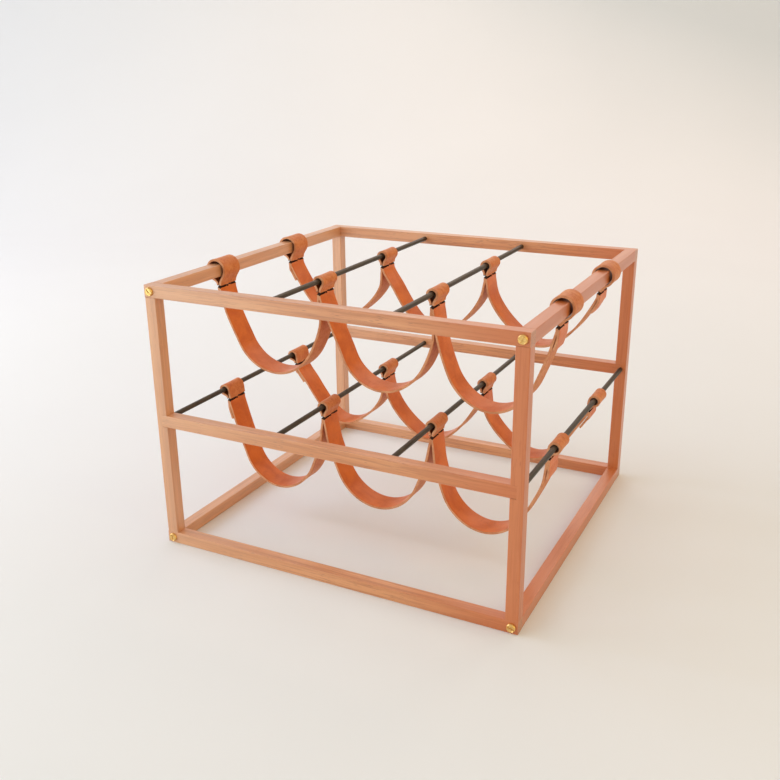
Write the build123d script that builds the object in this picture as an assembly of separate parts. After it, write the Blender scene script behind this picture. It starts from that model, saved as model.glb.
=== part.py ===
from build123d import *
from collections import namedtuple
import math
import os

# A six-bottle wine rack: a box frame of square wooden bars, six steel rods that run front
# to back, and four leather straps that hang from the rods and the side rails in slings.
# Millimetres. +X is the rack's right, +Y its back and +Z up. The origin is the middle of
# the rectangle that the rack stands on.

# ---- driving dimensions ----
WIDTH = 375.0             # outside, left to right
DEPTH = 358.0             # outside, front frame to back frame
HEIGHT = 268.0
BAR = 12.0                # every wooden bar is this square
EASE = 0.7                # rounding along the bars' long edges
MIDDLE_Z = 133.0          # centre height of the middle rails and of the rods there
HOUSING = 6.0             # how far a middle rail's end is let into the post
TENON = 6.0               # square stub tenon on each end of a post
TENON_LENGTH = 4.0

ROD_D = 5.0
ROD_CHAMFER = 0.3
ROD_SEAT = 7.0            # depth of the blind hole at each end of a rod
ROD_X = 60.0              # the inner rods, left and right of the middle
FIT = 0.03                # radial clearance of a rod or a screw in its hole

CUP_D = 8.6               # brass cup washer under each screw head
CUP_H = 2.2
CUP_EDGE = 0.4            # height of its upright rim
CUP_CREST = 3.5           # outer radius of its flat crest
CUP_SEAT = 3.3            # inner radius of the crest, where the countersink starts
SCREW_D = 3.6
SCREW_HEAD_D = 6.0        # countersunk at 90 degrees, slotted
SCREW_LENGTH = 34.0       # from the frame's face to the tip
SCREW_TIP = 5.0
SCREW_POINT_D = 0.6
SCREW_ROOM = 1.0          # pilot hole beyond the tip
SLOT_WIDTH = 0.9
SLOT_DEPTH = 0.9
# how far round each screw has come to rest, in degrees from level
SLOT_TURNS = {
    "front_top_left": 135, "front_top_right": 60,
    "front_bottom_left": 100, "front_bottom_right": 165,
    "back_top_left": 20, "back_top_right": 95,
    "back_bottom_left": 150, "back_bottom_right": 45,
}

STRAP_T = 2.2
STRAP_W = 26.0
FRONT_STRAP_Y = -65.0     # middle of the strap that carries the bottles' bodies
BACK_STRAP_Y = 69.0       # middle of the strap that carries their necks
BODY_D = 76.0             # a wine bottle's body and neck
NECK_D = 30.0
UPPER_AXIS_Z = 199.0      # where a bottle's axis lies in each row
LOWER_AXIS_Z = 73.0
RAIL_LOOP_R = 9.0         # inside of the loop round a square rail
ROD_LOOP_R = 3.8          # inside of the loop round a rod
ROD_LOOP_DROP = 0.9       # the loop hangs on the rod, so its centre is this much lower
RAIL_CROSSING = 17.0      # from a rail's centre to where the strap crosses itself
ROD_CROSSING = 12.0
RAIL_SWING = 10.0         # the end loops lean inwards, pulled by the one sling
ROD_SWING = 25.0
TAIL = 22.0               # what hangs free at each end of a strap
TAIL_GAP = 1.2            # between a tail and the sling beside it

# A sling's direction, in degrees from straight down: where it leaves the crossing, and
# where it passes from its upper arc to its tighter lower one. The deep front sling is a U
# with nearly straight sides, and the shallow back one is closer to a V.
SlingShape = namedtuple("SlingShape", "lean bend")
SLING_SHAPE = {"front": SlingShape(15.0, 20.0), "back": SlingShape(14.0, 55.0)}

# ---- what follows from them ----
SIDE_X = WIDTH / 2 - BAR / 2
FRAME_Y = DEPTH / 2 - BAR / 2
TOP_Z = HEIGHT - BAR / 2
BOTTOM_Z = BAR / 2
INSIDE_DEPTH = DEPTH - 2 * BAR
POST_HEIGHT = HEIGHT - 2 * BAR
POST_Z = HEIGHT / 2
MIDDLE_RAIL_LENGTH = WIDTH - 2 * BAR + 2 * HOUSING
SIDES = {"left": -1, "right": 1}
ENDS = {"front": -1, "back": 1}
LEVELS = {"top": TOP_Z, "bottom": BOTTOM_Z}
ROW_AXIS = {"upper": UPPER_AXIS_Z, "lower": LOWER_AXIS_Z}
STRAP_Y = {"front": FRONT_STRAP_Y, "back": BACK_STRAP_Y}
HELD_D = {"front": BODY_D, "back": NECK_D}
ROD_PLACES = {
    "upper_left_rod": (-ROD_X, TOP_Z),
    "upper_right_rod": (ROD_X, TOP_Z),
    "outer_left_rod": (-SIDE_X, MIDDLE_Z),
    "inner_left_rod": (-ROD_X, MIDDLE_Z),
    "inner_right_rod": (ROD_X, MIDDLE_Z),
    "outer_right_rod": (SIDE_X, MIDDLE_Z),
}


# ---- wooden frame ----
def bar(length, axis):
    """A square bar along an axis, middle at the origin, its long edges eased."""
    size = {"x": (length, BAR, BAR), "y": (BAR, length, BAR), "z": (BAR, BAR, length)}[axis]
    direction = {"x": Axis.X, "y": Axis.Y, "z": Axis.Z}[axis]
    blank = Box(*size)
    return fillet(blank.edges().filter_by(direction), EASE)


def bore(x, y, z, diameter, length):
    """A cylinder along Y with its middle at the given point."""
    return Pos(x, y, z) * Rot(90, 0, 0) * Cylinder(diameter / 2, length)


def rod_holes():
    """The blind holes at both ends of every rod."""
    length = INSIDE_DEPTH + 2 * (ROD_SEAT + FIT)
    return [bore(x, 0, z, ROD_D + 2 * FIT, length) for x, z in ROD_PLACES.values()]


def screw_holes(end):
    """A pilot hole for each corner screw of one end, open at the frame's outer face."""
    length = SCREW_LENGTH + SCREW_ROOM + BAR
    y = end * (DEPTH / 2 + BAR - length / 2)
    return [
        bore(side * SIDE_X, y, z, SCREW_D + 2 * FIT, length)
        for side in SIDES.values() for z in LEVELS.values()
    ]


def tenoned_core(end, side):
    """The square core of a post that runs on past its shoulders as two stub tenons."""
    height = POST_HEIGHT + 2 * TENON_LENGTH
    return Pos(side * SIDE_X, end * FRAME_Y, POST_Z) * Box(TENON, TENON, height)


def long_rail(end, z):
    """A top or bottom rail: it runs over the ends of the posts."""
    rail = Pos(0, end * FRAME_Y, z) * bar(WIDTH, "x")
    mortises = [tenoned_core(end, side) for side in SIDES.values()]
    return rail - mortises - rod_holes() - screw_holes(end)


def middle_rail(end):
    """A middle rail: its ends are housed in the posts."""
    rail = Pos(0, end * FRAME_Y, MIDDLE_Z) * bar(MIDDLE_RAIL_LENGTH, "x")
    return rail - rod_holes()


def post(end, side):
    """A post with a stub tenon at each end and a housing for the middle rail."""
    body = Pos(side * SIDE_X, end * FRAME_Y, POST_Z) * bar(POST_HEIGHT, "z")
    body += tenoned_core(end, side)
    body -= Pos(0, end * FRAME_Y, MIDDLE_Z) * Box(MIDDLE_RAIL_LENGTH, BAR, BAR)
    return body - rod_holes()


def side_rail(side, z):
    """A side rail between the two end frames, bored for the screws."""
    rail = Pos(side * SIDE_X, 0, z) * bar(INSIDE_DEPTH, "y")
    return rail - screw_holes(-1) - screw_holes(1)


# ---- metal pieces ----
def rod(x, z):
    """A plain rod with slightly broken ends."""
    body = Cylinder(ROD_D / 2, INSIDE_DEPTH + 2 * ROD_SEAT)
    body = chamfer(body.edges(), ROD_CHAMFER)
    return Pos(x, 0, z) * Rot(90, 0, 0) * body


def on_face(end, side, z):
    """A place on the frame's outer face, with local Z pointing out of it."""
    return Pos(side * SIDE_X, end * DEPTH / 2, z) * Rot(-90 * end, 0, 0)


def screw_cup():
    """A turned cup washer: a rounded outside, a flat crest and a countersink."""
    hole = SCREW_D / 2 + FIT
    seat_foot = CUP_H - (CUP_SEAT - hole)
    with BuildSketch(Plane.XZ) as section:
        with BuildLine():
            Polyline((hole, seat_foot), (hole, 0), (CUP_D / 2, 0), (CUP_D / 2, CUP_EDGE))
            TangentArc((CUP_D / 2, CUP_EDGE), (CUP_CREST, CUP_H), tangent=(0, 1))
            Polyline((CUP_CREST, CUP_H), (CUP_SEAT, CUP_H), (hole, seat_foot))
        make_face()
    return revolve(section.sketch, Axis.Z)


def screw(turn):
    """A slotted countersunk wood screw, seated in its cup."""
    head_r = SCREW_HEAD_D / 2
    top = CUP_H - (CUP_SEAT - head_r)
    shoulder = top - (head_r - SCREW_D / 2)
    straight = SCREW_LENGTH - SCREW_TIP
    with BuildSketch(Plane.XZ) as section:
        with BuildLine():
            Polyline(
                (0, top), (head_r, top), (SCREW_D / 2, shoulder), (SCREW_D / 2, -straight),
                (SCREW_POINT_D / 2, -SCREW_LENGTH), (0, -SCREW_LENGTH), close=True,
            )
        make_face()
    slot = Pos(0, 0, top) * Rot(0, 0, turn) * Box(2 * SCREW_HEAD_D, SLOT_WIDTH, 2 * SLOT_DEPTH)
    return revolve(section.sketch, Axis.Z) - slot


# ---- straps ----
# A strand of strap starts at the top of a loop, runs down one side of it, through the
# crossing, and on along a sling or a tail. Its middle line in the XZ plane is a chain of
# tangent arcs, each (radius, degrees turned), where a turn like the loop's is positive.
Support = namedtuple("Support", "x z loop_radius drop crossing swing")


def on_rod(x, z, swing):
    return Support(x, z, ROD_LOOP_R, ROD_LOOP_DROP, ROD_CROSSING, swing)


def on_rail(x, swing):
    return Support(x, TOP_Z, RAIL_LOOP_R, 0, RAIL_CROSSING, swing)


def supports(row):
    """What a strap of a row loops round, from left to right."""
    if row == "upper":
        left = on_rail(-SIDE_X, RAIL_SWING)
        right = on_rail(SIDE_X, -RAIL_SWING)
        inner_z = TOP_Z
    else:
        left = on_rod(-SIDE_X, MIDDLE_Z, ROD_SWING)
        right = on_rod(SIDE_X, MIDDLE_Z, -ROD_SWING)
        inner_z = MIDDLE_Z
    return [left, on_rod(-ROD_X, inner_z, 0), on_rod(ROD_X, inner_z, 0), right]


def crossing(support):
    """Where the strap crosses itself under a support."""
    swing = math.radians(support.swing)
    distance = support.crossing
    return (support.x + distance * math.sin(swing), support.z - distance * math.cos(swing))


def loop_arcs(support, side, sling_lean):
    """Down one side of a loop to the crossing: its round part, then a leg tangent to it."""
    radius = support.loop_radius + STRAP_T / 2
    x, z = crossing(support)
    end = Vector(side * (x - support.x), z - support.z + support.drop)
    a = math.radians(sling_lean)
    outward = Vector(math.cos(a), -math.sin(a))
    leg = (end.dot(end) - radius ** 2) / (2 * (radius - end.dot(outward)))
    parting = (end + outward * leg) / (radius + leg)
    leave = math.degrees(math.atan2(-parting.Y, parting.X))
    return [(radius, 90 + leave), (abs(leg), sling_lean - leave)]


def sling_arcs(near, far, bottom, shape):
    """From the crossing under one support down to the sling's lowest point."""
    x, z = crossing(near)
    reach = abs(crossing(far)[0] - x) / 2
    depth = z - bottom
    a = math.radians(shape.lean)
    b = math.radians(shape.bend)
    across = (math.cos(a) - math.cos(b), math.cos(b))
    down = (math.sin(b) - math.sin(a), 1 - math.sin(b))
    scale = across[0] * down[1] - across[1] * down[0]
    upper = (reach * down[1] - depth * across[1]) / scale
    lower = (depth * across[0] - reach * down[0]) / scale
    return [(upper, shape.bend - shape.lean), (lower, 90 - shape.bend)]


def tail_arcs(sling_radius, shape):
    """A free tail: it turns back under the crossing and lies along the sling's outside."""
    outer = sling_radius + STRAP_T + TAIL_GAP
    apart = math.radians(2 * shape.lean)
    radius = (outer ** 2 - sling_radius ** 2) / (2 * (outer - sling_radius * math.cos(apart)))
    turn = apart + math.atan2(
        radius * math.sin(apart), sling_radius - radius * math.cos(apart)
    )
    rest = TAIL - radius * turn
    return [(radius, -math.degrees(turn)), (outer, -math.degrees(rest / outer))]


def chain(point, heading, hand, arcs, offset):
    """The edges of a chain of tangent arcs, moved to its left by an offset."""
    edges = []
    for radius, turn in arcs:
        sense = math.copysign(1, hand * turn)
        a = math.radians(heading)
        centre = point + Vector(-math.sin(a), math.cos(a)) * sense * radius
        edges.append(CenterArc(
            centre, radius - sense * offset, heading - 90 * sense, hand * turn
        ))
        heading += hand * turn
        a = math.radians(heading)
        point = centre - Vector(-math.sin(a), math.cos(a)) * sense * radius
    return edges


def strand(support, side, arcs):
    """The flat outline of a strand, seen on edge, from the top of the support's loop."""
    radius = support.loop_radius + STRAP_T / 2
    top = Vector(support.x, support.z - support.drop + radius)
    heading = 0 if side > 0 else 180
    left = chain(top, heading, -side, arcs, STRAP_T / 2)
    right = chain(top, heading, -side, arcs, -STRAP_T / 2)
    caps = [Line(left[-1] @ 1, right[-1] @ 1), Line(left[0] @ 0, right[0] @ 0)]
    return make_face(left + right + caps)


def strap(row, end):
    """One strap: four loops, the three slings between them and a tail at each end."""
    shape = SLING_SHAPE[end]
    bottom = ROW_AXIS[row] - HELD_D[end] / 2 - STRAP_T / 2
    holders = supports(row)
    strands = []
    for i, holder in enumerate(holders):
        for side in (-1, 1):
            loop = loop_arcs(holder, side, shape.lean)
            beyond = i - side
            if 0 <= beyond < len(holders):
                onward = sling_arcs(holder, holders[beyond], bottom, shape)
            else:
                inner = sling_arcs(holder, holders[i + side], bottom, shape)
                onward = tail_arcs(inner[0][0], shape)
            strands.append(strand(holder, side, loop + onward))
    outline = Sketch() + strands
    return Pos(0, STRAP_Y[end], 0) * extrude(Plane.XZ * outline, STRAP_W / 2, both=True)


# ---- every piece by name ----
def end_frame(end_name):
    """The posts and rails of the front or back frame, with its screws and their cups."""
    end = ENDS[end_name]
    made = {f"{end_name}_middle_rail": middle_rail(end)}
    for level, z in LEVELS.items():
        made[f"{end_name}_{level}_rail"] = long_rail(end, z)
    for side_name, side in SIDES.items():
        made[f"{end_name}_{side_name}_post"] = post(end, side)
        for level, z in LEVELS.items():
            corner = f"{end_name}_{level}_{side_name}"
            made[f"{corner}_screw"] = on_face(end, side, z) * screw(SLOT_TURNS[corner])
            made[f"{corner}_screw_cup"] = on_face(end, side, z) * screw_cup()
    return made


def pieces():
    made = end_frame("front") | end_frame("back")
    for side_name, side in SIDES.items():
        for level, z in LEVELS.items():
            made[f"{side_name}_{level}_side_rail"] = side_rail(side, z)
    for name, (x, z) in ROD_PLACES.items():
        made[name] = rod(x, z)
    for row in ROW_AXIS:
        for end_name in ENDS:
            made[f"{row}_{end_name}_strap"] = strap(row, end_name)
    return made


os.makedirs("parts", exist_ok=True)
for name, piece in pieces().items():
    export_step(piece, f"parts/{name}.step")
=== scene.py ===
import math
import random
from collections import namedtuple

import bmesh
import bpy
from mathutils import Matrix, Vector, noise


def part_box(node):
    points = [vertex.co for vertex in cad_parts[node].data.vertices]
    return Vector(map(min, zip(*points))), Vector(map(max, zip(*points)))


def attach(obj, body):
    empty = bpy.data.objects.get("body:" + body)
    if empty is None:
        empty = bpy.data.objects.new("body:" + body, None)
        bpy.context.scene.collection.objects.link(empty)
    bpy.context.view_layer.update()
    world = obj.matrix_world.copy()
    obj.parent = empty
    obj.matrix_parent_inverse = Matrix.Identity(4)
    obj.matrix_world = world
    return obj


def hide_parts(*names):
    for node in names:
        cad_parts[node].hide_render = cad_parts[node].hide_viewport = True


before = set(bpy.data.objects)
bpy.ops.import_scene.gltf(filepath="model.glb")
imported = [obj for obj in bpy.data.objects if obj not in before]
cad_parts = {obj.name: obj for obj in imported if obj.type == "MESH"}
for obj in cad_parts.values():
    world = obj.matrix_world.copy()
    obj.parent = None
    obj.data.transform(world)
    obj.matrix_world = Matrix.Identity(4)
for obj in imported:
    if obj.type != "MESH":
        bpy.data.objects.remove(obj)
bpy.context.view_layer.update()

# A wooden wine rack with steel rods and leather sling straps, on a pale studio floor.
# Metres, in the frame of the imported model: +X right, +Y back, +Z up.
SEED = 7
MM = 0.001

ENDS = ("front", "back")
SIDES = ("left", "right")
LEVELS = ("top", "bottom")
ROWS = ("upper", "lower")


# ---------------------------------------------------------------- shader helpers
class Nodes:
    """A material with short calls for its nodes and links."""

    def __init__(self, name):
        self.material = bpy.data.materials.new(name)
        self.material.use_nodes = True
        self.tree = self.material.node_tree
        self.tree.nodes.clear()
        output = self.tree.nodes.new("ShaderNodeOutputMaterial")
        self.shader = self.tree.nodes.new("ShaderNodeBsdfPrincipled")
        self.link(self.shader.outputs["BSDF"], output.inputs["Surface"])

    def node(self, kind, **settings):
        made = self.tree.nodes.new("ShaderNode" + kind)
        for key, value in settings.items():
            setattr(made, key, value)
        return made

    def link(self, source, target):
        self.tree.links.new(source, target)

    def feed(self, target, value):
        """Gives a socket a link or a plain value."""
        if isinstance(value, bpy.types.NodeSocket):
            self.link(value, target)
        else:
            target.default_value = value

    def coordinates(self, scale=(1, 1, 1), offset=(0, 0, 0)):
        source = self.node("TexCoord").outputs["Object"]
        mapping = self.node("Mapping")
        mapping.inputs["Scale"].default_value = scale
        mapping.inputs["Location"].default_value = offset
        self.link(source, mapping.inputs["Vector"])
        return mapping.outputs["Vector"]

    def noise(self, vector, scale, detail=4.0, roughness=0.55, distortion=0.0):
        made = self.node("TexNoise")
        self.link(vector, made.inputs["Vector"])
        made.inputs["Scale"].default_value = scale
        made.inputs["Detail"].default_value = detail
        made.inputs["Roughness"].default_value = roughness
        made.inputs["Distortion"].default_value = distortion
        return made.outputs["Fac"]

    def cells(self, vector, scale):
        made = self.node("TexVoronoi")
        self.link(vector, made.inputs["Vector"])
        made.inputs["Scale"].default_value = scale
        return made.outputs["Distance"]

    def math(self, operation, a, b=0.0):
        made = self.node("Math", operation=operation)
        self.feed(made.inputs[0], a)
        self.feed(made.inputs[1], b)
        return made.outputs[0]

    def ramp(self, value, low, high, to_low=0.0, to_high=1.0):
        """A smooth step of a value from one range to another."""
        made = self.node("MapRange", interpolation_type="SMOOTHSTEP")
        self.feed(made.inputs["Value"], value)
        made.inputs["From Min"].default_value = low
        made.inputs["From Max"].default_value = high
        made.inputs["To Min"].default_value = to_low
        made.inputs["To Max"].default_value = to_high
        return made.outputs["Result"]

    def mix(self, factor, a, b):
        made = self.node("Mix", data_type="RGBA")
        self.feed(made.inputs["Factor"], factor)
        for socket, value in ((made.inputs[6], a), (made.inputs[7], b)):
            if isinstance(value, tuple):
                value = (*value, 1.0)
            self.feed(socket, value)
        return made.outputs[2]

    def bump(self, height, strength, distance):
        made = self.node("Bump")
        self.link(height, made.inputs["Height"])
        made.inputs["Strength"].default_value = strength
        made.inputs["Distance"].default_value = distance
        return made.outputs["Normal"]


# ---------------------------------------------------------------- wood
WOOD_PALE = (0.70, 0.305, 0.122)
WOOD_MID = (0.60, 0.225, 0.074)
WOOD_DARK = (0.40, 0.12, 0.035)
WOOD_PORE = (0.20, 0.055, 0.018)
# painted light (pale, on the left) and painted shade (rich, on the right) across the rack
WOOD_PAINTED_LIGHT = (0.72, 0.41, 0.24)
WOOD_PAINTED_SHADE = (0.55, 0.115, 0.008)
WOOD_END = (0.40, 0.125, 0.04)
ALONG = {"x": 0, "y": 1, "z": 2}
GRAIN_STRETCH = 0.035          # the figure's scale along the grain, against across it
FLECK_STRETCH = 0.10           # the same for the pores and marks
PAINTED_LIGHT_X = (0.05, -0.22)        # over these x a painted light pales the wood towards the left
PAINTED_SHADE_X = (0.06, 0.185)         # and a painted shade makes it richer and darker towards the right
EDGE_MARK_REACH = 1.1 * MM           # how far from an edge its wear and painted highlight reach


def wood_places(n, axis, number):
    """Coordinates along the grain, along the flecks and unstretched, shifted for each bar."""
    shift = tuple(0.37 * number + 0.11 * k for k in range(3))
    places = []
    for stretch in (GRAIN_STRETCH, FLECK_STRETCH, 1.0):
        scale = [1.0, 1.0, 1.0]
        scale[ALONG[axis]] = stretch
        places.append(n.coordinates(scale=tuple(scale), offset=shift))
    return places


def wood_figure(n, grain_place, broad, fine):
    """The pale and darker bands, the fine grain and its thin dark lines."""
    lines = n.noise(grain_place, 260.0, 2.0, 0.5, 0.5)
    colour = n.mix(n.ramp(broad, 0.38, 0.62), WOOD_PALE, WOOD_MID)
    colour = n.mix(n.ramp(fine, 0.50, 0.60, 0.0, 0.55), colour, WOOD_DARK)
    return n.mix(n.ramp(lines, 0.54, 0.60, 0.0, 0.42), colour, WOOD_DARK)


def wood_marks(n, colour, places, pores):
    """Short dark pore dashes, long streaks, and a few small knots and mineral marks."""
    grain_place, fleck_place, plain_place = places
    colour = n.mix(n.math("MULTIPLY", pores, 0.65), colour, WOOD_PORE)
    streak = n.noise(grain_place, 34.0, 2.0, 0.5, 0.4)
    colour = n.mix(n.ramp(streak, 0.64, 0.74, 0.0, 0.5), colour, WOOD_DARK)
    marks = n.cells(fleck_place, 42.0)
    seldom = n.noise(plain_place, 23.0, 1.0)
    mark = n.math("MULTIPLY", n.ramp(marks, 0.05, 0.13, 1.0, 0.0), n.ramp(seldom, 0.56, 0.60))
    return n.mix(n.math("MULTIPLY", mark, 0.75), colour, WOOD_PORE)


def paint_wood_light_and_shade(n, colour):
    """Painted light on the left of the rack pales the wood; painted shade on the right makes it
    richer and darker.
    """
    across = n.node("SeparateXYZ")
    n.link(n.coordinates(), across.inputs[0])
    colour = n.mix(n.ramp(across.outputs["X"], *PAINTED_LIGHT_X, 0.0, 0.46), colour, WOOD_PAINTED_LIGHT)
    return n.mix(n.ramp(across.outputs["X"], *PAINTED_SHADE_X, 0.0, 0.72), colour, WOOD_PAINTED_SHADE)


def wood_end_grain(n, colour, plain_place, axis):
    """Darker wood where a face looks along the grain."""
    split = n.node("SeparateXYZ")
    n.link(n.node("TexCoord").outputs["Normal"], split.inputs[0])
    facing = n.math("ABSOLUTE", split.outputs[ALONG[axis]])
    rings = n.noise(plain_place, 700.0, 4.0, 0.7)
    end_colour = n.mix(n.ramp(rings, 0.35, 0.7), WOOD_END, WOOD_MID)
    return n.mix(n.ramp(facing, 0.75, 0.95), colour, end_colour)


def edge_wear_and_highlight(n, patches):
    """Where the bars' edges are worn, in patches, and carry a painted highlight."""
    bevel = n.node("Bevel", samples=6)
    bevel.inputs["Radius"].default_value = EDGE_MARK_REACH
    geometry = n.node("NewGeometry")
    dot = n.node("VectorMath", operation="DOT_PRODUCT")
    n.link(bevel.outputs["Normal"], dot.inputs[0])
    n.link(geometry.outputs["Normal"], dot.inputs[1])
    edge = n.ramp(dot.outputs["Value"], 0.80, 0.995, 1.0, 0.0)
    return n.math("MULTIPLY", edge, n.ramp(patches, 0.30, 0.62))


def wood_material(name, axis, number):
    """Oiled beech with its grain along an axis, its figure shifted from bar to bar."""
    n = Nodes(name)
    places = wood_places(n, axis, number)
    grain_place, fleck_place, plain_place = places
    broad = n.noise(grain_place, 95.0, 3.0, 0.5, 0.6)
    fine = n.noise(grain_place, 620.0, 5.0, 0.65)
    cloud = n.noise(plain_place, 14.0, 2.0)
    dashes = n.cells(fleck_place, 900.0)
    patches = n.noise(plain_place, 55.0, 2.0)
    pores = n.math(
        "MULTIPLY", n.ramp(dashes, 0.10, 0.30, 1.0, 0.0), n.ramp(patches, 0.46, 0.62)
    )
    edge_mark = edge_wear_and_highlight(n, patches)

    colour = wood_figure(n, grain_place, broad, fine)
    colour = n.mix(n.ramp(cloud, 0.45, 0.75, 0.0, 0.35), colour, WOOD_MID)
    colour = wood_marks(n, colour, places, pores)
    # painted light on the left of the rack, painted shade on the right
    colour = paint_wood_light_and_shade(n, colour)
    colour = wood_end_grain(n, colour, plain_place, axis)
    # wear and a painted highlight: paler wood along the edges
    colour = n.mix(n.math("MULTIPLY", edge_mark, 0.35), colour, WOOD_PALE)
    n.link(colour, n.shader.inputs["Base Color"])

    roughness = n.ramp(broad, 0.3, 0.7, 0.42, 0.55)
    smoother = n.math("MULTIPLY", edge_mark, 0.1)
    n.link(n.math("SUBTRACT", roughness, smoother), n.shader.inputs["Roughness"])
    relief = n.math("SUBTRACT", n.math("MULTIPLY", fine, 0.5), pores)
    n.link(n.bump(relief, 0.35, 0.08 * MM), n.shader.inputs["Normal"])
    n.shader.inputs["IOR"].default_value = 1.5
    n.shader.inputs["Coat Weight"].default_value = 0.9
    n.shader.inputs["Coat Roughness"].default_value = 0.38
    n.shader.inputs["Coat IOR"].default_value = 1.6
    return n.material


def dress_wood():
    """Gives every bar its own wood, with the grain along its length."""
    bars = []
    for end in ENDS:
        bars += [(f"{end}_{level}_rail", "x") for level in ("top", "middle", "bottom")]
        bars += [(f"{end}_{side}_post", "z") for side in SIDES]
    bars += [(f"{side}_{level}_side_rail", "y") for side in SIDES for level in LEVELS]
    for number, (name, axis) in enumerate(bars):
        dress(name, wood_material(f"beech_{name}", axis, number))


def dress(name, material):
    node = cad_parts[name]
    node.data.materials.clear()
    node.data.materials.append(material)


# ---------------------------------------------------------------- metal
STEEL_DARK = (0.048, 0.039, 0.028)
STEEL_PALE = (0.085, 0.069, 0.050)
STEEL_LINE = (0.13, 0.105, 0.078)
BRASS_BRIGHT = (0.90, 0.60, 0.22)
BRASS_TARNISH = (0.62, 0.36, 0.11)


def steel_material():
    """Blackened steel rod: brown-black, with faint drawing marks along it and rubbed spots."""
    n = Nodes("blackened_steel")
    along = n.coordinates(scale=(1.0, 0.02, 1.0))
    plain = n.coordinates()
    lines = n.noise(along, 900.0, 4.0, 0.6)
    cloud = n.noise(plain, 60.0, 4.0)
    colour = n.mix(n.ramp(cloud, 0.35, 0.7), STEEL_DARK, STEEL_PALE)
    colour = n.mix(n.ramp(lines, 0.6, 0.8, 0.0, 0.5), colour, STEEL_LINE)
    n.link(colour, n.shader.inputs["Base Color"])
    n.shader.inputs["Metallic"].default_value = 0.55
    n.link(n.ramp(cloud, 0.3, 0.75, 0.38, 0.56), n.shader.inputs["Roughness"])
    n.link(n.bump(lines, 0.25, 0.04 * MM), n.shader.inputs["Normal"])
    return n.material


def brass_material():
    """Satin brass, turned, with a little tarnish in patches."""
    n = Nodes("satin_brass")
    plain = n.coordinates()
    tarnish = n.noise(plain, 420.0, 4.0, 0.6)
    scratches = n.noise(n.coordinates(scale=(1.0, 1.0, 0.15)), 2600.0, 3.0)
    colour = n.mix(n.ramp(tarnish, 0.42, 0.72), BRASS_BRIGHT, BRASS_TARNISH)
    n.link(colour, n.shader.inputs["Base Color"])
    n.shader.inputs["Metallic"].default_value = 1.0
    n.link(n.ramp(tarnish, 0.35, 0.7, 0.24, 0.42), n.shader.inputs["Roughness"])
    n.link(n.bump(scratches, 0.15, 0.03 * MM), n.shader.inputs["Normal"])
    return n.material


def dress_metal():
    steel = steel_material()
    for name in ("upper_left_rod", "upper_right_rod", "outer_left_rod",
                 "inner_left_rod", "inner_right_rod", "outer_right_rod"):
        dress(name, steel)
    brass = brass_material()
    for end in ENDS:
        for level in LEVELS:
            for side in SIDES:
                for part in ("screw", "screw_cup"):
                    dress(f"{end}_{level}_{side}_{part}", brass)


# ---------------------------------------------------------------- leather
INNER_BRIGHT = (0.75, 0.180, 0.020)
INNER_DEEP = (0.61, 0.122, 0.012)
INNER_CREASE = (0.44, 0.075, 0.008)
INNER_PORE = (0.38, 0.062, 0.008)
# painted shade for the inner side inside the loops
INNER_SHADE = (0.10, 0.028, 0.010)
OUTER_PALE = (0.67, 0.220, 0.054)
OUTER_DEEP = (0.57, 0.142, 0.026)
OUTER_SPOT = (0.43, 0.095, 0.018)
EDGE_PALE = (0.68, 0.32, 0.16)
EDGE_DEEP = (0.54, 0.21, 0.09)
EDGE_FIBRE = (0.38, 0.12, 0.045)
# painted shade in the slots and where the strands pass through them
SHADE_BLACK = (0.026, 0.012, 0.007)
SHADE_BROWN = (0.075, 0.028, 0.012)
NAP_TINT = (1.0, 0.84, 0.66, 1.0)


def grain_leather():
    """The smooth inner side: saturated, with fine pores and creases, and painted shade inside the
    loops.
    """
    n = Nodes("leather_grain")
    plain = n.coordinates()
    cloud = n.noise(plain, 42.0, 4.0, 0.6, 0.4)
    pores = n.cells(plain, 1500.0)
    creases = n.noise(n.coordinates(scale=(1.0, 0.22, 1.0)), 420.0, 4.0, 0.6)
    colour = n.mix(n.ramp(cloud, 0.32, 0.70), INNER_BRIGHT, INNER_DEEP)
    colour = n.mix(n.ramp(creases, 0.55, 0.8, 0.0, 0.45), colour, INNER_CREASE)
    colour = n.mix(n.ramp(pores, 0.0, 0.25, 0.25, 0.0), colour, INNER_PORE)
    # painted shade on the inner side inside the loops
    painted_shade = n.node("Attribute", attribute_name=SHADE_ATTRIBUTE).outputs["Fac"]
    colour = n.mix(n.math("MULTIPLY", painted_shade, 0.75), colour, INNER_SHADE)
    n.link(colour, n.shader.inputs["Base Color"])
    n.link(n.ramp(cloud, 0.3, 0.7, 0.30, 0.42), n.shader.inputs["Roughness"])
    relief = n.math("SUBTRACT", n.ramp(pores, 0.0, 0.45), n.math("MULTIPLY", creases, 0.9))
    n.link(n.bump(relief, 0.35, 0.10 * MM), n.shader.inputs["Normal"])
    n.shader.inputs["Specular IOR Level"].default_value = 0.34
    return n.material


def flesh_leather():
    """The outer side: paler, pinker and mottled, with a short nap."""
    n = Nodes("leather_outer")
    plain = n.coordinates()
    cloud = n.noise(plain, 110.0, 5.0, 0.65, 0.8)
    spots = n.noise(plain, 420.0, 4.0, 0.6)
    nap = n.noise(plain, 2400.0, 3.0, 0.7)
    colour = n.mix(n.ramp(cloud, 0.34, 0.68), OUTER_PALE, OUTER_DEEP)
    colour = n.mix(n.ramp(spots, 0.50, 0.75, 0.0, 0.6), colour, OUTER_SPOT)
    n.link(colour, n.shader.inputs["Base Color"])
    n.link(n.ramp(spots, 0.3, 0.7, 0.48, 0.64), n.shader.inputs["Roughness"])
    n.link(n.bump(nap, 0.30, 0.12 * MM), n.shader.inputs["Normal"])
    n.shader.inputs["Sheen Weight"].default_value = 0.20
    n.shader.inputs["Sheen Roughness"].default_value = 0.35
    n.shader.inputs["Sheen Tint"].default_value = NAP_TINT
    n.shader.inputs["Specular IOR Level"].default_value = 0.40
    return n.material


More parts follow.
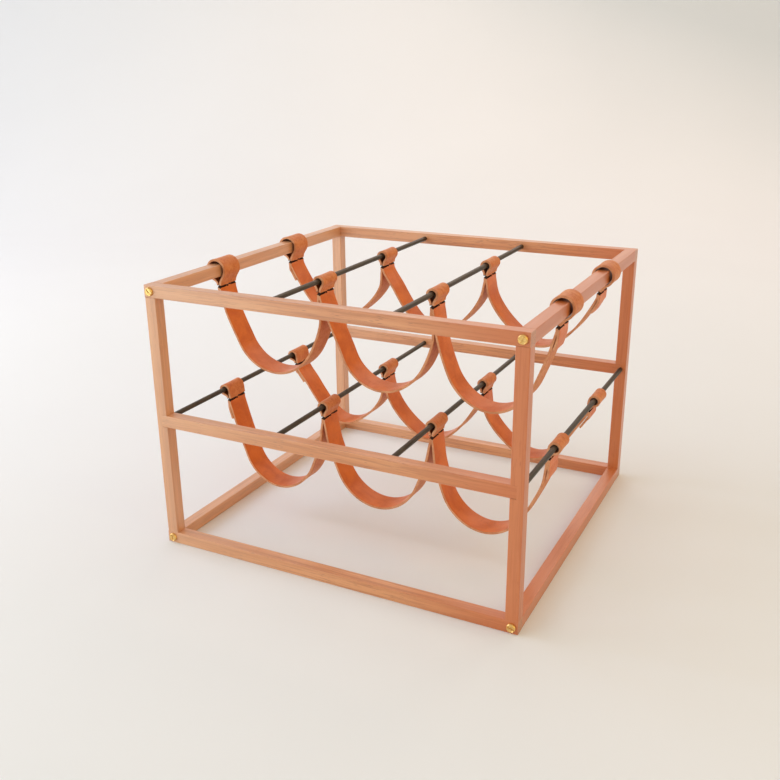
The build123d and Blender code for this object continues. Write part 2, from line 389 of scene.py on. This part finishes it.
def edge_leather():
    """The raw cut edge: paler fibres in layers."""
    n = Nodes("leather_edge")
    plain = n.coordinates()
    fibres = n.noise(plain, 1700.0, 4.0, 0.7)
    cloud = n.noise(plain, 150.0, 3.0)
    colour = n.mix(n.ramp(cloud, 0.35, 0.7), EDGE_PALE, EDGE_DEEP)
    colour = n.mix(n.ramp(fibres, 0.48, 0.75, 0.0, 0.6), colour, EDGE_FIBRE)
    n.link(colour, n.shader.inputs["Base Color"])
    n.shader.inputs["Roughness"].default_value = 0.8
    n.link(n.bump(fibres, 0.5, 0.12 * MM), n.shader.inputs["Normal"])
    return n.material


def slot_shade_leather():
    """Painted shade, brown-black, for the slots' cut walls and for the strap where it passes
    through the other strand's slot.
    """
    n = Nodes("leather_slot_shade")
    shade_noise = n.noise(n.coordinates(), 900.0, 4.0, 0.7)
    colour = n.mix(n.ramp(shade_noise, 0.4, 0.7), SHADE_BLACK, SHADE_BROWN)
    n.link(colour, n.shader.inputs["Base Color"])
    n.shader.inputs["Roughness"].default_value = 0.85
    n.shader.inputs["IOR"].default_value = 1.3
    n.link(n.bump(shade_noise, 0.4, 0.10 * MM), n.shader.inputs["Normal"])
    return n.material


# ---------------------------------------------------------------- straps
SHADE_ATTRIBUTE = "loop_shade"                    # where shade is painted on the inner side, inside the loop round a rod or a rail
THICK = 2.2 * MM
RAIL_LOOP_R = 10.1 * MM        # radii are those of the middle of the thickness
ROD_LOOP_R = 4.9 * MM
ROD_LOOP_DROP = 0.9 * MM
RAIL_CROSSING = 17.0 * MM
ROD_CROSSING = 12.0 * MM
RAIL_SWING = math.radians(10)
ROD_SWING = math.radians(25)
TAIL = 22.0 * MM
TAIL_GAP = 1.2 * MM
EDGE_ROUND = 0.30 * MM
EDGE_ANGLE = math.radians(55)  # only corners sharper than this are rounded
ACROSS = 20                    # columns of faces across the strap, an even number
ARC_STEP = math.radians(7)
LONG_STEP = 2.5 * MM
LEAN = {"front": math.radians(15), "back": math.radians(14)}
BEND = {"front": math.radians(20), "back": math.radians(55)}

# At a crossing the strand from the left of the loop is slotted in its front half and the
# strand from the right of the loop in its back half, and each passes through the other.
SLOT_HALF = 1.6 * MM           # half a slot's length along the strap
SLOT_RIM = 0.7 * MM            # faces this near to a slot have cut walls with painted shade
PINCH = 1.7 * MM               # the strands lie against each other from here on
SLOT_LEAN = 0.9 * MM           # how far a slot's ends shift towards the strap's middle
SLOT_LEAN_WIDTH = 3.4 * MM     # and over this much from the strap's middle
FADE = 5.0 * MM                # the lean fades out over this much from the crossing
# rows of faces lie this many mm before and after a crossing
SLOT_ROWS = (0.0, 0.4, 0.8, 1.2, 1.6, 2.3, 3.1, 4.0, 5.0)
SLOT_END_COLUMNS = 2           # and get painted shade all over in the slot's last columns
SLOT_SLACK = 0.05 * MM         # rows this near to a limit count as within it
ROW_GAP = 0.4 * MM             # rows of faces are never closer, but at the crossing

CUPPING = 0.22 * MM            # how far the long edges curl outwards
WANDER = 0.5 * MM              # how far the long edges stray from straight
WANDER_RATE = 22.0             # how many times a metre they turn, about
WANDER_SPAN = 50               # each strap's own stretch of noise starts within this
SHADE_REACH = 3.0 * MM           # the painted shade fades in over this much above a crossing

# How each sling hangs away from the even curve, from left to right, in mm: how far its two
# legs are pushed to the right, how far its lower part is, and how much lower it hangs.
Hang = namedtuple("Hang", "left right shift drop")
LEG_PUSH_FROM = 0.03           # a leg's push starts this far down the sling, as a share
LEG_PUSH_AT = 0.35             # and is greatest here
SHIFT_DONE_AT = 0.7            # the shift is whole from here on down
HANGS = {
    ("upper", "front"): (Hang(-2.5, 7, 4, -1.5), Hang(0, 7, 6, 0), Hang(-2.5, 1, -2, 3)),
    ("upper", "back"): (Hang(2, 4.5, 1.5, -1), Hang(4, 2, 2, 1), Hang(-2.5, -1.5, -1, 0)),
    ("lower", "front"): (Hang(0, 3, 0.5, 1), Hang(-2.5, 2, 0, 0.8), Hang(-2.5, 4.5, -3, 1.8)),
    ("lower", "back"): (Hang(4, 3, 4, -1.2), Hang(-1, -2, -2, 0), Hang(-3, -3, -2, 0.6)),
}

Support = namedtuple("Support", "x z radius drop crossing swing")


def supports(row):
    """What a strap of a row loops round, from left to right."""
    def place(node):
        low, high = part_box(node)
        return (low.x + high.x) / 2, (low.z + high.z) / 2

    def on_rod(node, swing):
        return Support(*place(node), ROD_LOOP_R, ROD_LOOP_DROP, ROD_CROSSING, swing)

    def on_rail(node, swing):
        return Support(*place(node), RAIL_LOOP_R, 0.0, RAIL_CROSSING, swing)

    if row == "upper":
        return [
            on_rail("left_top_side_rail", RAIL_SWING), on_rod("upper_left_rod", 0.0),
            on_rod("upper_right_rod", 0.0), on_rail("right_top_side_rail", -RAIL_SWING),
        ]
    return [
        on_rod("outer_left_rod", ROD_SWING), on_rod("inner_left_rod", 0.0),
        on_rod("inner_right_rod", 0.0), on_rod("outer_right_rod", -ROD_SWING),
    ]


def crossing(support):
    return (
        support.x + support.crossing * math.sin(support.swing),
        support.z - support.crossing * math.cos(support.swing),
    )


def loop_arcs(support, side, lean):
    """(radius, turn) of a loop's round part and of the leg from it to the crossing."""
    x, z = crossing(support)
    end = Vector((side * (x - support.x), z - support.z + support.drop))
    outward = Vector((math.cos(lean), -math.sin(lean)))
    radius = support.radius
    leg = (end.dot(end) - radius ** 2) / (2 * (radius - end.dot(outward)))
    parting = (end + outward * leg) / (radius + leg)
    leave = math.atan2(-parting.y, parting.x)
    return [(radius, math.pi / 2 + leave), (abs(leg), lean - leave)]


def sling_arcs(near, far, bottom, end):
    """(radius, turn) of half a sling, from a crossing to its lowest point."""
    x, z = crossing(near)
    reach = abs(crossing(far)[0] - x) / 2
    depth = z - bottom
    a, b = LEAN[end], BEND[end]
    across = (math.cos(a) - math.cos(b), math.cos(b))
    down = (math.sin(b) - math.sin(a), 1 - math.sin(b))
    scale = across[0] * down[1] - across[1] * down[0]
    upper = (reach * down[1] - depth * across[1]) / scale
    lower = (depth * across[0] - reach * down[0]) / scale
    return [(upper, b - a), (lower, math.pi / 2 - b)]


def tail_arcs(sling_radius, end):
    """(radius, turn) of a tail, which lies along the outside of the last sling."""
    outer = sling_radius + THICK + TAIL_GAP
    apart = 2 * LEAN[end]
    radius = (outer ** 2 - sling_radius ** 2) / (2 * (outer - sling_radius * math.cos(apart)))
    turn = apart + math.atan2(
        radius * math.sin(apart), sling_radius - radius * math.cos(apart)
    )
    rest = TAIL - radius * turn
    return [(radius, -turn), (outer, -rest / outer)]


def smooth(t):
    t = min(max(t, 0.0), 1.0)
    return t * t * (3 - 2 * t)


class Strand:
    """Half a loop and what it runs on to, measured from the top of the loop."""

    def __init__(self, support, side, loop, onward, lean):
        self.side = side
        self.lean = lean
        self.to_crossing = sum(abs(radius * turn) for radius, turn in loop)
        self.arcs = []
        point = Vector((support.x, support.z - support.drop + support.radius))
        heading = 0.0 if side > 0 else math.pi
        start = 0.0
        for radius, turn in loop + onward:
            sense = math.copysign(1, -side * turn)
            left = Vector((-math.sin(heading), math.cos(heading)))
            middle = point + left * sense * radius
            self.arcs.append((start, radius, sense, heading, middle))
            heading -= side * turn
            left = Vector((-math.sin(heading), math.cos(heading)))
            point = middle - left * sense * radius
            start += abs(radius * turn)
        self.length = start

    def at(self, distance):
        """The middle line's point and outward direction at a distance from the top."""
        distance = min(max(distance, 0.0), self.length)
        arc = [a for a in self.arcs if a[0] <= distance][-1]
        start, radius, sense, heading, middle = arc
        now = heading + sense * (distance - start) / radius
        left = Vector((-math.sin(now), math.cos(now)))
        out = left * self.side
        past = distance - self.to_crossing
        spread = max(0.0, THICK / 2 - abs(past) * math.sin(self.lean))
        shift = math.copysign(spread * smooth(abs(past) / PINCH), -past)
        return middle - left * sense * radius + out * shift, out

    def distances(self):
        """Where the strand's rows of faces lie, closest together about the crossing."""
        fine = sorted({sign * row * MM for row in SLOT_ROWS for sign in (1, -1)})
        places = [self.to_crossing + step for step in fine]
        ends = [arc[0] for arc in self.arcs] + [self.length]
        for start, stop, arc in zip(ends, ends[1:], self.arcs):
            count = max(2, math.ceil((stop - start) / min(LONG_STEP, arc[1] * ARC_STEP)))
            for k in range(count + 1):
                place = start + (stop - start) * k / count
                if all(abs(place - other) > ROW_GAP for other in places):
                    if abs(place - self.to_crossing) > FADE:
                        places.append(place)
        return sorted(places)


def hanging_point(x, z, slings, bottom):
    """Where a point of the even curve lies once its sling hangs its own way."""
    for (left, left_top), (right, right_top), hang in slings:
        if left < x < right:
            on_left = x < (left + right) / 2
            top = left_top if on_left else right_top
            leg = hang.left if on_left else hang.right
            depth = min(max((top - z) / (top - bottom), 0.0), 1.0)
            rise = smooth((depth - LEG_PUSH_FROM) / (LEG_PUSH_AT - LEG_PUSH_FROM))
            fall = 1 - smooth((depth - LEG_PUSH_AT) / (1 - LEG_PUSH_AT))
            sideways = leg * min(rise, fall) + hang.shift * smooth(depth / SHIFT_DONE_AT)
            down = hang.drop * math.sin(math.pi * (x - left) / (right - left)) ** 2
            return x + sideways * MM, z - down * MM
    return x, z


Sample = namedtuple("Sample", "strand distance past")


def strap_samples(row, end):
    """The strap's rows of faces, from the left tail to the right one."""
    holders = supports(row)
    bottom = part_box(f"{row}_{end}_strap")[0].z + THICK / 2
    lean = LEAN[end]
    samples = []
    for i, holder in enumerate(holders):
        for side in (1, -1):
            beyond = i - side
            if 0 <= beyond < len(holders):
                onward = sling_arcs(holder, holders[beyond], bottom, end)
            else:
                inner = sling_arcs(holder, holders[i + side], bottom, end)
                onward = tail_arcs(inner[0][0], end)
            strand = Strand(holder, side, loop_arcs(holder, side, lean), onward, lean)
            part = [Sample(strand, d, d - strand.to_crossing) for d in strand.distances()]
            if side > 0:
                part.reverse()
            samples += part[1:] if samples else part
    return samples


def slot_state(near, far, column):
    """Whether a face between two samples is cut away, given painted crevice shade, beside a slot,
    or plain.
    """
    low, high = sorted((near.past, far.past))
    strand = near.strand if abs(near.past) < abs(far.past) else far.strand
    slotted = (column < ACROSS // 2) == (strand.side < 0)
    slot_end = abs(column + 0.5 - ACROSS / 2) < SLOT_END_COLUMNS
    in_slot = low > -SLOT_HALF - SLOT_SLACK and high < SLOT_HALF + SLOT_SLACK
    rim = SLOT_HALF + SLOT_RIM + SLOT_SLACK
    if in_slot:
        # the unslotted half gets painted shade where it goes through the other strand's slot
        return "cut" if slotted else "crevice_shade"
    if slotted and low > -rim and high < rim:
        return "crevice_shade" if slot_end else "beside"
    return "plain"


# where each state's outer side, inner side and edge start in the strap's list of materials
FINISH_START = {"plain": 0, "beside": 3, "crevice_shade": 6}


def strap_grid(bm, row, end, samples):
    """Rows of vertices across the strap, on the middle of its thickness."""
    node = f"{row}_{end}_strap"
    low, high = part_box(node)
    middle = (low.y + high.y) / 2
    rng = random.Random(f"{SEED} {node}")
    wave = Vector((rng.uniform(0, WANDER_SPAN), rng.uniform(0, WANDER_SPAN), 0))
    hooks = [crossing(holder) for holder in supports(row)]
    slings = list(zip(hooks, hooks[1:], HANGS[(row, end)]))
    loop_shade = bm.verts.layers.float.new(SHADE_ATTRIBUTE)
    grid = []
    for sample in samples:
        fade = smooth(1 - abs(sample.past) / FADE)
        across = []
        for j in range(ACROSS + 1):
            share = j / ACROSS
            y = low.y + (high.y - low.y) * share
            lean = sample.strand.side * SLOT_LEAN * fade
            lean *= math.exp(-((y - middle) / SLOT_LEAN_WIDTH) ** 2)
            point, out = sample.strand.at(sample.distance + lean)
            x, z = point + out * CUPPING * (2 * share - 1) ** 2
            if sample.past > 0:
                x, z = hanging_point(x, z, slings, low.z)
            ripple = Vector((x * WANDER_RATE, z * WANDER_RATE, 0))
            vert = bm.verts.new((x, y + noise.noise(wave + ripple) * WANDER, z))
            # how much painted shade the inner side gets here
            vert[loop_shade] = smooth(-sample.past / SHADE_REACH)
            across.append(vert)
        grid.append(across)
    return grid


def strap_faces(bm, grid, samples):
    """Faces between the rows, left out where a slot is cut."""
    for k, (near, far) in enumerate(zip(samples, samples[1:])):
        for j in range(ACROSS):
            state = slot_state(near, far, j)
            if state != "cut":
                corners = (grid[k][j], grid[k][j + 1], grid[k + 1][j + 1], grid[k + 1][j])
                bm.faces.new(corners).material_index = FINISH_START[state]
    loose = [vert for vert in bm.verts if not vert.link_faces]
    bmesh.ops.delete(bm, geom=loose, context="VERTS")


def build_strap(row, end, finishes):
    """One strap as a thick, soft-edged strip with its interlocked slots."""
    node = f"{row}_{end}_strap"
    samples = strap_samples(row, end)
    bm = bmesh.new()
    strap_faces(bm, strap_grid(bm, row, end, samples), samples)
    mesh = bpy.data.meshes.new(node + "_leather")
    bm.to_mesh(mesh)
    bm.free()
    mesh.shade_smooth()
    for material in finishes:
        mesh.materials.append(material)
    piece = bpy.data.objects.new(node + "_leather", mesh)
    bpy.context.scene.collection.objects.link(piece)
    thicken(piece)
    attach(piece, f"{row}_{end}_sling_strap")
    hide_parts(node)


def thicken(piece):
    """Gives a sheet the leather's thickness and softens its edges."""
    solid = piece.modifiers.new("thickness", "SOLIDIFY")
    solid.thickness = THICK
    solid.offset = 0.0
    solid.use_even_offset = True
    solid.material_offset = 1
    solid.material_offset_rim = 2
    bevel = piece.modifiers.new("edges", "BEVEL")
    bevel.width = EDGE_ROUND
    bevel.segments = 2
    bevel.limit_method = "ANGLE"
    bevel.angle_limit = EDGE_ANGLE


def build_straps():
    flesh, grain, edge, slot = flesh_leather(), grain_leather(), edge_leather(), slot_shade_leather()
    # the slot material is painted shade for the slot walls and crevices
    finishes = [flesh, grain, edge, flesh, grain, slot, slot, slot, slot]
    for row in ROWS:
        for end in ENDS:
            build_strap(row, end, finishes)


# ---------------------------------------------------------------- studio
SHEET_DARK = (0.80, 0.82, 0.835)
SHEET_PALE = (0.82, 0.84, 0.855)
FLOOR_HALF = 6.0
WALL_Y = 3.2
WALL_R = 1.6                   # the curve between floor and wall
WALL_H = 5.0
WALL_STEPS = 24


def build_floor():
    """A pale sheet that lies on the floor and curves up behind the rack."""
    n = Nodes("backdrop")
    soft = n.noise(n.coordinates(), 1.1, 3.0)
    colour = n.mix(n.ramp(soft, 0.3, 0.7), SHEET_DARK, SHEET_PALE)
    n.link(colour, n.shader.inputs["Base Color"])
    n.shader.inputs["Roughness"].default_value = 0.8
    profile = [(-FLOOR_HALF, 0.0), (WALL_Y - WALL_R, 0.0)]
    for i in range(1, WALL_STEPS + 1):
        a = math.pi / 2 * i / WALL_STEPS
        profile.append((WALL_Y - WALL_R + WALL_R * math.sin(a), WALL_R * (1 - math.cos(a))))
    profile.append((WALL_Y, WALL_H))
    bm = bmesh.new()
    lines = [[bm.verts.new((x, y, z)) for y, z in profile] for x in (-FLOOR_HALF, FLOOR_HALF)]
    for k in range(len(profile) - 1):
        bm.faces.new((lines[0][k], lines[1][k], lines[1][k + 1], lines[0][k + 1]))
    mesh = bpy.data.meshes.new("studio_floor")
    bm.to_mesh(mesh)
    bm.free()
    mesh.shade_smooth()
    mesh.materials.append(n.material)
    floor = bpy.data.objects.new("studio_floor", mesh)
    bpy.context.scene.collection.objects.link(floor)
    # the sheet curves up in the direction that the camera looks in
    floor.rotation_euler.z = CAMERA_YAW


CAMERA_AT = (0.3945, -0.8210, 0.4634)
CAMERA_YAW = math.radians(26.972)
CAMERA_PITCH = math.radians(-19.822)
CAMERA_ROLL = math.radians(-0.527)
CAMERA_LENS = 42.47
CAMERA_SENSOR = 36.0


def build_camera():
    data = bpy.data.cameras.new("camera")
    data.lens = CAMERA_LENS
    data.sensor_width = CAMERA_SENSOR
    camera = bpy.data.objects.new("camera", data)
    bpy.context.scene.collection.objects.link(camera)
    turn = (
        Matrix.Rotation(CAMERA_YAW, 4, "Z")
        @ Matrix.Rotation(math.pi / 2 + CAMERA_PITCH, 4, "X")
        @ Matrix.Rotation(CAMERA_ROLL, 4, "Z")
    )
    camera.matrix_world = Matrix.Translation(CAMERA_AT) @ turn
    bpy.context.scene.camera = camera


Lamp = namedtuple("Lamp", "place target size power colour")
RACK_MIDDLE = (0, 0, 0.13)
LAMPS = {
    # daylight from the left: low beside the camera, beside the rack, and high up
    "low_window": Lamp((-1.5, -1.6, 0.5), RACK_MIDDLE, (1.6, 1.0), 19.0, (0.60, 0.79, 0.78)),
    "side_window": Lamp((-2.2, -0.6, 1.0), RACK_MIDDLE, (1.4, 1.4), 20.5, (0.72, 0.75, 0.86)),
    "high_window": Lamp((-3.2, 0.2, 2.2), (-0.3, 1.0, 0.6), (2.0, 2.0), 33.0, (0.48, 0.62, 0.87)),
    # soft light from behind the rack, and a little warm light from the right
    "back_soft": Lamp((0.0, 2.3, 1.7), RACK_MIDDLE, (3.0, 1.2), 18.5, (0.96, 0.71, 0.59)),
    "warm_fill": Lamp((2.2, -0.3, 1.2), RACK_MIDDLE, (1.6, 1.6), 9.5, (0.88, 0.70, 0.16)),
}
ROOM_LEFT = (0.70, 0.62, 0.61)
ROOM_RIGHT = (0.72, 0.64, 0.50)
ROOM_TURN = 0.8                # the room's light changes over this much of the sky


def build_lights():
    for name, lamp in LAMPS.items():
        data = bpy.data.lights.new(name, "AREA")
        data.shape = "RECTANGLE"
        data.size, data.size_y = lamp.size
        data.energy = lamp.power
        data.color = lamp.colour
        light = bpy.data.objects.new(name, data)
        bpy.context.scene.collection.objects.link(light)
        light.location = lamp.place
        aim = Vector(lamp.target) - Vector(lamp.place)
        light.rotation_mode = "QUATERNION"
        light.rotation_quaternion = aim.to_track_quat("-Z", "Y")


def build_room():
    """The light of the room, which is cooler on the left and warmer on the right."""
    world = bpy.data.worlds.new("room")
    world.use_nodes = True
    tree = world.node_tree
    place = tree.nodes.new("ShaderNodeTexCoord")
    split = tree.nodes.new("ShaderNodeSeparateXYZ")
    tree.links.new(place.outputs["Generated"], split.inputs[0])
    share = tree.nodes.new("ShaderNodeMapRange")
    share.interpolation_type = "SMOOTHSTEP"
    share.inputs["From Min"].default_value = -ROOM_TURN
    share.inputs["From Max"].default_value = ROOM_TURN
    tree.links.new(split.outputs["X"], share.inputs["Value"])
    mix = tree.nodes.new("ShaderNodeMix")
    mix.data_type = "RGBA"
    mix.inputs[6].default_value = (*ROOM_LEFT, 1.0)
    mix.inputs[7].default_value = (*ROOM_RIGHT, 1.0)
    tree.links.new(share.outputs["Result"], mix.inputs["Factor"])
    tree.links.new(mix.outputs[2], tree.nodes["Background"].inputs["Color"])
    bpy.context.scene.world = world
    bpy.context.scene.view_settings.view_transform = "Standard"


dress_wood()
dress_metal()
build_straps()
build_camera()
build_floor()
build_lights()
build_room()
